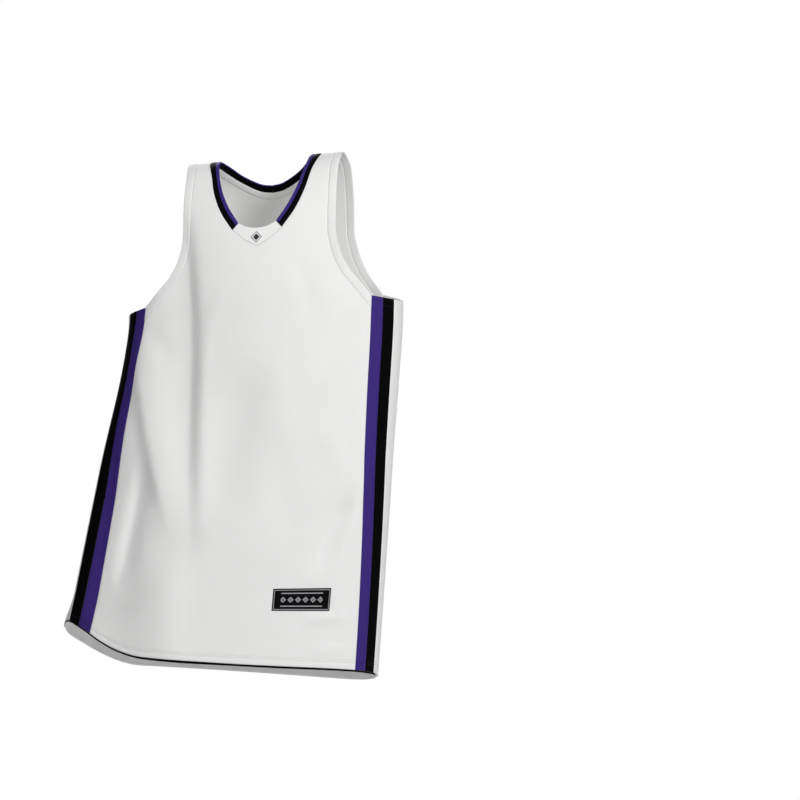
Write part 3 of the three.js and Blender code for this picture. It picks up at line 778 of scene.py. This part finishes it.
def make_stripe(side, label, stripe):
    start, end, finish = STRIPES[stripe]
    count = 28 if stripe == "white_centre" else 8
    lines = with_margins(np.linspace(start + SEAM_GAP / 2, end - SEAM_GAP / 2, count + 1),
                         (0.7, 1.8), (0.7, 1.8))
    drop = HEM_DOWN - ARMHOLE_DOWN
    share = with_margins(np.linspace(0, drop, 151), groove_lines(0.7, 1.9), (0.7, 1.9))[:, None] / drop
    downs = HEM_DOWN + (side_top(lines) - HEM_DOWN) * share
    across, rise, back = side_place(side, lines[None, :], downs)
    points, normals = cloth_spots(across, rise, back)
    taper = rolled(len(share))[:, None] * rolled(len(lines))
    uv = np.stack([np.broadcast_to(lines, rise.shape), rise], -1)
    outer = taper * grooved(HEM_DOWN - drop * share)
    obj = wall(f"{label}_{stripe}_cloth", points, normals, uv, -WALL / 2 * taper, WALL / 2 * outer,
               finish_of(finish))
    settle(obj, finish, f"side_{label}_{stripe}")
    (end - start) * MM
    return obj


def band_lines(side, shares, count=150):
    """Across, rise and back of an armhole band, from the side panel in front, over the
    shoulder, to the side panel behind: the seam line moved out square to itself by shares
    of the band's width, and turned level at its two lower ends."""
    climbs = np.linspace(0, 1, count + 1)
    parts = []
    base = rise_of(YOKE_DOWN)
    for back in (False, True):
        rise = base + (SHOULDER_RISE - base) * climbs * (0.6 + 0.4 * climbs)
        seam = arm_seam(down_of(rise), back)
        depth = oval(0.0, back)[1]
        stretch = np.hypot(np.cos(rise / CHEST_DOWN), depth / CHEST_DOWN * np.sin(rise / CHEST_DOWN))
        slope = (arm_seam(down_of(rise + 0.5), back) - arm_seam(down_of(rise - 0.5), back)) / stretch
        size = np.hypot(1, slope)
        level = 1 - smooth(0, 0.3, climbs)
        out_across = ARMBAND_WIDTH / size * (1 - level)
        out_rise = -ARMBAND_WIDTH * slope / size / stretch * (1 - level) + level * (YOKE_DOWN - ARMHOLE_DOWN)
        heights = rise + out_rise * shares[:, None]
        limit = side_seam(down_of(heights), back) - SEAM_GAP / 2
        places = side * np.minimum(seam + out_across * shares[:, None], limit)
        order = slice(None, None, -1) if back else slice(None)
        skip = slice(1, None) if back else slice(None)
        parts.append((places[:, order][:, skip], heights[:, order][:, skip],
                      np.full(places.shape, back)[:, skip]))
    return tuple(np.hstack([p[k] for p in parts]) for k in range(3))


def make_armhole_band(side, label):
    """A binding folded over the armhole's edge: a wall with a round outer edge."""
    shares = np.array([0.012, 0.06, 0.14, 0.3, 0.5, 0.7, 0.85, 0.93, 0.975, 1.0])
    across, rise, back = band_lines(side, shares)
    points, normals = cloth_spots(across, rise, back)
    crown = np.array([0.1, 0.6, 0.95, 1.1, 1.12, 1.1, 1.0, 0.82, 0.5, 0.12])[:, None] * 0.8
    travelled = np.concatenate([[0], np.cumsum(np.linalg.norm(np.diff(points[0], axis=0), axis=1))])
    uv = np.stack([np.broadcast_to(travelled, rise.shape),
                   np.broadcast_to(shares[:, None] * ARMBAND_WIDTH, rise.shape)], -1)
    obj = wall(f"{label}_armhole_binding", points, normals, uv, -crown, crown, finish_of("white_binding"))
    settle(obj, "white_binding", f"armhole_band_{label}")
    return obj


def ring_path(count):
    """Places round the collar, from its end at the insert over the wearer's right shoulder,
    round the back and to its other end: t along each half, side and back."""
    front = np.linspace(1 - INSERT_SHARE, 0, count // 2 + 1)
    rear = np.linspace(0, 1, count + 1)[1:]
    t = np.concatenate([front, rear, rear[-2::-1], front[::-1]])
    half = len(front) + len(rear)
    side = np.where(np.arange(len(t)) < half, -1.0, 1.0)
    back = np.concatenate([np.zeros(len(front), bool), np.ones(2 * len(rear) - 1, bool),
                           np.zeros(len(front), bool)])
    return t, side, back


def neck_places(t, side, back, shares):
    """Across and rise at shares of the way from the neck seam to the opening."""
    lines = {}
    for line in ("seam", "opening"):
        front_line, back_line = (neck_curve(line, which, t) for which in (False, True))
        lines[line] = [np.where(back, b, f) for f, b in zip(front_line, back_line)]
    seam, opening = lines["seam"], lines["opening"]
    down, half = (seam[k] + (opening[k] - seam[k]) * shares[:, None] for k in (0, 1))
    return side * across_at(half, back), rise_of(down)


def make_collar_band(name, node, finish, shares, crown, count=60):
    """One colour of the collar: a ribbed wall between two shares of the collar's width."""
    t, side, back = ring_path(count)
    across, rise = neck_places(t, side, back, shares)
    back = np.broadcast_to(back, across.shape)
    points, normals = cloth_spots(across, rise, back)
    middle = points[len(shares) // 2]
    travelled = np.concatenate([[0], np.cumsum(np.linalg.norm(np.diff(middle, axis=0), axis=1))])
    uv = np.stack([np.broadcast_to(travelled, across.shape),
                   np.broadcast_to(shares[:, None] * COLLAR_WIDTH, across.shape)], -1)
    obj = wall(name, points, normals, uv, -crown[:, None], crown[:, None], finish_of(finish))
    settle(obj, finish, node)
    return obj, travelled[-1]


# Sizes and colours a user would change

class JerseyCloth(bpy.types.PropertyGroup):
    white: FloatVectorProperty(name="White", description="Colour of the body's knit", subtype="COLOR",
                               size=3, min=0, max=1, default=(0.86, 0.86, 0.852))
    purple: FloatVectorProperty(name="Purple",
                                description="Colour of the inner stripes and the collar's edge",
                                subtype="COLOR", size=3, min=0, max=1, default=(0.044, 0.022, 0.195))
    black: FloatVectorProperty(name="Black", description="Colour of the outer stripes and the collar",
                               subtype="COLOR", size=3, min=0, max=1, default=(0.0018, 0.0016, 0.0022))
    thread: FloatVectorProperty(name="Thread", description="Colour of the white sewing thread",
                                subtype="COLOR", size=3, min=0, max=1, default=(0.80, 0.80, 0.79))
    fineness: IntProperty(name="Fineness", description="Grid lines for each main division of a panel",
                          min=1, max=8, default=6)


class JerseySewing(bpy.types.PropertyGroup):
    stitch_length: FloatProperty(name="Stitch length", description="Length of one stitch", unit="LENGTH",
                                 min=0.0005, max=0.01, default=0.0021)
    stitch_spacing: FloatProperty(name="Stitch spacing", description="Distance from one stitch to the next",
                                  unit="LENGTH", min=0.001, max=0.02, default=0.0028)
    thread_width: FloatProperty(name="Thread width", description="Width of one stitch", unit="LENGTH",
                                min=0.0001, max=0.002, default=0.0005)


class JerseyStage(bpy.types.PropertyGroup):
    floor_height: FloatProperty(name="Floor height", description="Height of the studio floor", unit="LENGTH",
                                default=-1.6)
    key_power: FloatProperty(name="Key light", description="Power of the large light at the upper right",
                             subtype="POWER", min=0, default=84)
    fill_power: FloatProperty(name="Fill light", description="Power of the small light at the upper left",
                              subtype="POWER", min=0, default=3)
    back_power: FloatProperty(name="Back light", description="Power of the light behind the garment",
                              subtype="POWER", min=0, default=95)
    ambient: FloatProperty(name="Ambient", description="Strength of the white surroundings",
                           min=0, default=0.20)


class JERSEY_OT_panels(bpy.types.Operator):
    """Make the front and back panels"""
    bl_idname = "jersey.panels"
    bl_label = "Front and Back"

    def execute(self, context):
        fineness = context.scene.jersey_cloth.fineness
        for name, node, back in (("front_cloth", "front_panel", False), ("back_cloth", "back_panel", True)):
            obj = make_panel(name, node, back, fineness)
        return {"FINISHED"}


class JERSEY_OT_sides(bpy.types.Operator):
    """Make the five stripes of each side panel"""
    bl_idname = "jersey.sides"
    bl_label = "Side Stripes"

    def execute(self, context):
        for side, label in ((-1, "right"), (1, "left")):
            for stripe in STRIPES:
                make_stripe(side, label, stripe)
        return {"FINISHED"}


class JERSEY_OT_armholes(bpy.types.Operator):
    """Make the armhole bindings"""
    bl_idname = "jersey.armholes"
    bl_label = "Armhole Bindings"

    def execute(self, context):
        for side, label in ((-1, "right"), (1, "left")):
            make_armhole_band(side, label)
        return {"FINISHED"}


class JERSEY_OT_collar(bpy.types.Operator):
    """Make the two-tone collar, the front insert and the tape inside the back neck"""
    bl_idname = "jersey.collar"
    bl_label = "Collar"

    def execute(self, context):
        split = COLLAR_BLACK_SHARE
        black_shares = split * np.array([0.012, 0.05, 0.13, 0.3, 0.5, 0.7, 0.88, 0.96, 0.995])
        black_crown = np.array([0.1, 0.65, 1.0, 1.2, 1.25, 1.2, 1.05, 0.9, 0.7])
        black, length = make_collar_band("collar_black_band", "collar_black", "black_rib",
                                         black_shares, black_crown)
        purple_shares = split + (1 - split) * np.array([0.01, 0.08, 0.25, 0.5, 0.75, 0.9, 0.97, 1.0])
        purple_crown = np.array([0.7, 0.9, 1.05, 1.1, 1.0, 0.8, 0.5, 0.15])
        make_collar_band("collar_purple_band", "collar_purple", "purple_rib", purple_shares, purple_crown)
        self.make_turning()
        self.make_insert()
        self.make_tape()
        return {"FINISHED"}

    def make_turning(self):
        """The black band's turned-in edge, on the collar's inner side."""
        t, side, back = ring_path(60)
        shares = np.array([0.5, 0.6, 0.78, 0.9])
        across, rise = neck_places(t, side, back, shares)
        points, normals = cloth_spots(across, rise, np.broadcast_to(back, across.shape))
        depth = np.array([1.35, 1.55, 1.55, 1.3])[:, None]
        uv = np.stack([across, rise], -1)
        obj = wall("collar_turning", points, normals, uv, -depth, -depth + 0.45, finish_of("black_rib"))
        settle(obj, "black_rib")

    def make_insert(self):
        """The white insert, from one end of the collar to the other."""
        end = 1 - INSERT_SHARE + 0.002
        half = with_margins(np.linspace(end, 1, 33), (0.004, 0.010), ())
        t = np.concatenate([half, half[-2::-1]])
        side = np.where(np.arange(len(t)) < len(half), -1.0, 1.0)
        shares = with_margins(np.linspace(0.012, 1, 22), (0.03, 0.07), (0.012, 0.04))
        across, rise = neck_places(t, side, np.zeros(len(t), bool), shares)
        points, normals = cloth_spots(across, rise, np.zeros(across.shape, bool))
        taper = rolled(len(shares), edge=(0.12, 0.62, 0.9))[:, None] * rolled(len(t))
        uv = np.stack([across, rise - rise_of(119.0)], -1)
        obj = wall("neck_insert", points, normals, uv, -0.8 * taper, 0.8 * taper, finish_of("insert"))
        settle(obj, "body_fabric", "collar_insert")

    def make_tape(self):
        """White tape that covers the seam inside the back neck."""
        t = np.concatenate([np.linspace(0.02, 1, 70), np.linspace(1, 0.02, 70)[1:]])
        side = np.where(np.arange(len(t)) < 70, -1.0, 1.0)
        shares = np.array([0.06, 0.0, -0.12, -0.35, -0.6, -0.72, -0.78])
        across, rise = neck_places(t, side, np.ones(len(t), bool), shares)
        points, normals = cloth_spots(across, rise, np.ones(across.shape, bool))
        depth = np.array([0.95, 1.25, 1.5, 1.6, 1.6, 1.45, 1.1])[:, None]
        uv = np.stack([across, rise], -1)
        obj = wall("back_neck_tape", points, normals, uv, -depth, -depth + 0.35, finish_of("white_binding"))
        settle(obj, "white_binding")


class JERSEY_OT_hem(bpy.types.Operator):
    """Make the black strip under the front hem: painted shade, a dark sheet where the shade falls in the gap
    between the front hem and the inside of the back panel
    """
    bl_idname = "jersey.hem"
    bl_label = "Hem Shade Strip"

    def execute(self, context):
        quarter = float(oval(HEM_DOWN, False)[5]) - 1.0
        across = np.linspace(-quarter, quarter - WHITE_WIDTH / 2 + 8, 241)
        # The strip of painted shade is wider at two places along the hem
        wider = 1.3 * np.exp(-(((across + 60) / 70) ** 2)) + 0.5 * np.exp(-(((across - 90) / 60) ** 2))
        shares = np.array([1.06, 1.0, 0.75, 0.4, 0.15, 0.0])[:, None]
        crown = np.array([0.15, 0.6, 0.95, 1.0, 0.9, 0.5])[:, None] * 0.9
        grid = np.broadcast_to(across, (len(shares), len(across)))
        rise = rise_of(HEM_DOWN + 0.1 + shares * (HEM_SHADE_WIDTH + wider))
        points, normals = cloth_spots(grid, rise, np.zeros(grid.shape, bool))
        uv = np.stack([grid, rise], -1)
        # Painted shade: a black strip that hangs below the front hem's edge
        obj = wall("front_hem_shade_strip", points, normals, uv, -crown, crown, finish_of("black_fabric"))
        settle(obj, "black_fabric", "hem_edging_front")
        return {"FINISHED"}


class JERSEY_OT_label(bpy.types.Operator):
    """Make the label near the front hem"""
    bl_idname = "jersey.label"
    bl_label = "Hem Label"

    def execute(self, context):
        across = with_margins(np.linspace(*LABEL["across"], 45), (0.35, 0.9), (0.35, 0.9))
        downs = with_margins(np.linspace(*LABEL["down"][::-1], 17), (0.35, 0.9), (0.35, 0.9))
        grid = np.broadcast_to(across, (len(downs), len(across)))
        rise = np.broadcast_to(rise_of(downs)[:, None], grid.shape)
        points, normals = cloth_spots(grid, rise, np.zeros(grid.shape, bool))
        soft = (0.3, 0.8, 0.98)
        taper = rolled(len(downs), edge=soft)[:, None] * rolled(len(across), edge=soft)
        uv = np.stack([grid - LABEL["across"][0], rise - rise_of(LABEL["down"][1])], -1)
        base = WALL / 2 + 0.05
        obj = wall("hem_label_patch", points, normals, uv, base - 0.2, base + 0.75 * taper,
                   finish_of("label_weave"))
        settle(obj, "label_weave", "hem_label")
        return {"FINISHED"}


class JERSEY_OT_stitching(bpy.types.Operator):
    """Sew the hem, the armholes, the collar and the side panels' tops"""
    bl_idname = "jersey.stitching"
    bl_label = "Stitching"

    def execute(self, context):
        sewing = context.scene.jersey_sewing
        sizes = {"length": sewing.stitch_length / MM, "width": sewing.thread_width / MM,
                 "spacing": sewing.stitch_spacing / MM}
        groups = {
            "hem_stitching": (self.hem_lines(), "white_thread", "body_fabric", WALL / 2),
            "stripe_hem_stitching": (self.stripe_lines(), "dark_thread", "black_fabric", WALL / 2),
            "armhole_stitching": (self.armhole_lines(), "white_thread", "white_binding", 0.86),
            "collar_stitching": (self.collar_lines(), "white_thread", "body_fabric", WALL / 2),
        }
        for name, (lines, finish, slot, lift) in groups.items():
            settle(stitches(name, lines, finish_of(finish), lift=lift, **sizes), slot)
        return {"FINISHED"}

    @staticmethod
    def hem_lines():
        """Two rows along the hem of both panels and of the white side stripes."""
        lines = []
        for up in HEM_ROWS:
            down = HEM_DOWN - up
            for back in (False, True):
                edge = float(side_seam(down, back)) - 1.5
                across = np.linspace(-edge, edge, 300)
                lines.append((across, np.full(300, float(rise_of(down))), np.full(300, back)))
            for side in (-1, 1):
                lines.append(side_place(side, np.linspace(-WHITE_WIDTH / 2 + 1, WHITE_WIDTH / 2 - 1, 60),
                                        np.full(60, down)))
        for up in (4.5, 12.0):
            for side in (-1, 1):
                from_side = np.linspace(-WHITE_WIDTH / 2 + 1, WHITE_WIDTH / 2 - 1, 60)
                lines.append(side_place(side, from_side, side_top(from_side) + up))
        return lines

    @staticmethod
    def stripe_lines():
        """Rows over the coloured stripes at the hem and near their tops."""
        lines = []
        for side in (-1, 1):
            for start, end, finish in STRIPES.values():
                if finish == "body_fabric":
                    continue
                from_side = np.linspace(start + 1, end - 1, 30)
                for up in HEM_ROWS:
                    lines.append(side_place(side, from_side, np.full(30, HEM_DOWN - up)))
                for below in (4.5, 12.0):
                    lines.append(side_place(side, from_side, side_top(from_side) + below))
        return lines

    @staticmethod
    def armhole_lines():
        """Two rows on each armhole band, beside its seam."""
        lines = []
        for side in (-1, 1):
            across, rise, back = band_lines(side, np.array([0.16, 0.40]))
            inner = slice(12, across.shape[1] - 12)
            lines += [(across[k, inner], rise[k, inner], back[k, inner]) for k in (0, 1)]
        return lines

    @staticmethod
    def collar_lines():
        """A row on the panels, close under the neck seam."""
        t, side, back = ring_path(60)
        lines = []
        across, rise = neck_places(t, side, back, np.array([-0.16]))
        for part in (~back & (side < 0), back, ~back & (side > 0)):
            lines.append((across[0, part], rise[0, part], back[part]))
        half = np.linspace(1 - INSERT_SHARE, 1, 30)
        t = np.concatenate([half, half[-2::-1]])
        side = np.where(np.arange(len(t)) < 30, -1.0, 1.0)
        across, rise = neck_places(t, side, np.zeros(len(t), bool), np.array([-0.13]))
        lines.append((across[0], rise[0], np.zeros(len(t), bool)))
        return lines


class JERSEY_OT_stage(bpy.types.Operator):
    """Make the floor, the lights and the camera"""
    bl_idname = "jersey.stage"
    bl_label = "Studio"

    def execute(self, context):
        stage = context.scene.jersey_stage
        size = 2.6
        corners = np.array([(-size, -size), (size, -size), (size, size), (-size, size)]) / MM
        points = np.column_stack([corners, np.full(4, stage.floor_height / MM)])
        floor = new_object("studio_floor", points, [(0, 1, 2, 3)], corners,
                           floor_finish("studio_floor", (0.9, 0.9, 0.9)))
        self.light("key_light", (2.1, -2.45, 1.3), 1.4, stage.key_power)
        self.light("fill_light", (-0.75, -0.8, 0.6), 0.5, stage.fill_power)
        self.light("back_light", (-1.6, 3.0, 1.2), 1.5, stage.back_power)
        self.surroundings(context.scene, stage.ambient)
        self.camera(context.scene)
        context.scene.view_settings.view_transform = "Standard"
        return {"FINISHED"}

    @staticmethod
    def light(name, place, size, power):
        """A square soft light that faces the middle of the garment."""
        data = bpy.data.lights.new(name, "AREA")
        data.size, data.energy = size, power
        obj = bpy.data.objects.new(name, data)
        back = np.array(place) - np.array((0, 0, -0.38))
        back /= np.linalg.norm(back)
        right = np.cross((0, 0, 1), back)
        right /= np.linalg.norm(right)
        turn = np.column_stack([right, np.cross(back, right), back])
        obj.matrix_world = Matrix.Translation(place) @ Matrix(turn.tolist()).to_4x4()
        bpy.context.scene.collection.objects.link(obj)

    @staticmethod
    def surroundings(scene, strength):
        """White all round: full white where it is seen, and a softer light that is stronger
        from the front and from the garment's left."""
        world = bpy.data.worlds.new("studio_white")
        world.use_nodes = True
        nodes, links = world.node_tree.nodes, world.node_tree.links
        nodes.clear()
        output = nodes.new("ShaderNodeOutputWorld")
        seen, lighting = (nodes.new("ShaderNodeBackground") for _ in range(2))
        seen.inputs["Color"].default_value = lighting.inputs["Color"].default_value = (1, 1, 1, 1)
        seen.inputs["Strength"].default_value = 1.0
        direction = nodes.new("ShaderNodeTexCoord").outputs["Generated"]
        graded = nodes.new("ShaderNodeVectorMath")
        graded.operation = "DOT_PRODUCT"
        graded.inputs[1].default_value = (0.4, -0.5, 0.1)
        links.new(direction, graded.inputs[0])
        power = nodes.new("ShaderNodeMath")
        power.operation = "MULTIPLY_ADD"
        links.new(graded.outputs["Value"], power.inputs[0])
        power.inputs[1].default_value = power.inputs[2].default_value = strength
        links.new(power.outputs[0], lighting.inputs["Strength"])
        mix = nodes.new("ShaderNodeMixShader")
        links.new(nodes.new("ShaderNodeLightPath").outputs["Is Camera Ray"], mix.inputs[0])
        links.new(lighting.outputs[0], mix.inputs[1])
        links.new(seen.outputs[0], mix.inputs[2])
        links.new(mix.outputs[0], output.inputs[0])
        scene.world = world

    @staticmethod
    def camera(scene):
        """A long lens, almost level and a little to the garment's left side, rolled with it."""
        data = bpy.data.cameras.new("camera")
        data.sensor_width, data.lens = 36.0, 2628 * 36 / 800
        data.clip_end = 100
        azimuth, elevation, roll = (math.radians(a) for a in (6.36, 2.75, -3.22))
        back = np.array((math.sin(azimuth) * math.cos(elevation), -math.cos(azimuth) * math.cos(elevation),
                         math.sin(elevation)))
        right = np.array((math.cos(azimuth), math.sin(azimuth), 0))
        up = np.cross(back, right)
        turned = (right * math.cos(roll) - up * math.sin(roll),
                  right * math.sin(roll) + up * math.cos(roll), back)
        place = np.array((0.22514, 0, -0.35524)) + 4.0 * back
        obj = bpy.data.objects.new("camera", data)
        obj.matrix_world = Matrix.Translation(place) @ Matrix(np.column_stack(turned).tolist()).to_4x4()
        scene.collection.objects.link(obj)
        scene.camera = obj


class JERSEY_PT_parts(bpy.types.Panel):
    bl_idname = "JERSEY_PT_parts"
    bl_label = "Basketball Jersey"
    bl_space_type = "VIEW_3D"
    bl_region_type = "UI"
    bl_category = "Jersey"

    def draw(self, context):
        for group in ("jersey_cloth", "jersey_sewing", "jersey_stage"):
            settings = getattr(context.scene, group)
            box = self.layout.box()
            for name in settings.__annotations__:
                box.prop(settings, name)
        for operator in OPERATORS:
            self.layout.operator(operator.bl_idname)


GROUPS = {"jersey_cloth": JerseyCloth, "jersey_sewing": JerseySewing, "jersey_stage": JerseyStage}
OPERATORS = (JERSEY_OT_panels, JERSEY_OT_sides, JERSEY_OT_armholes, JERSEY_OT_collar, JERSEY_OT_hem,
             JERSEY_OT_label, JERSEY_OT_stitching, JERSEY_OT_stage)
CLASSES = (*GROUPS.values(), *OPERATORS, JERSEY_PT_parts)


def register():
    for cls in CLASSES:
        bpy.utils.register_class(cls)
    for name, group in GROUPS.items():
        setattr(bpy.types.Scene, name, PointerProperty(type=group))


def unregister():
    for name in GROUPS:
        delattr(bpy.types.Scene, name)
    for cls in reversed(CLASSES):
        bpy.utils.unregister_class(cls)


def main():
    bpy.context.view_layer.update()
    register()
    for operator in (bpy.ops.jersey.panels, bpy.ops.jersey.sides, bpy.ops.jersey.armholes,
                     bpy.ops.jersey.collar, bpy.ops.jersey.hem, bpy.ops.jersey.label,
                     bpy.ops.jersey.stitching, bpy.ops.jersey.stage):
        operator()


if __name__ == "__main__":
    main()
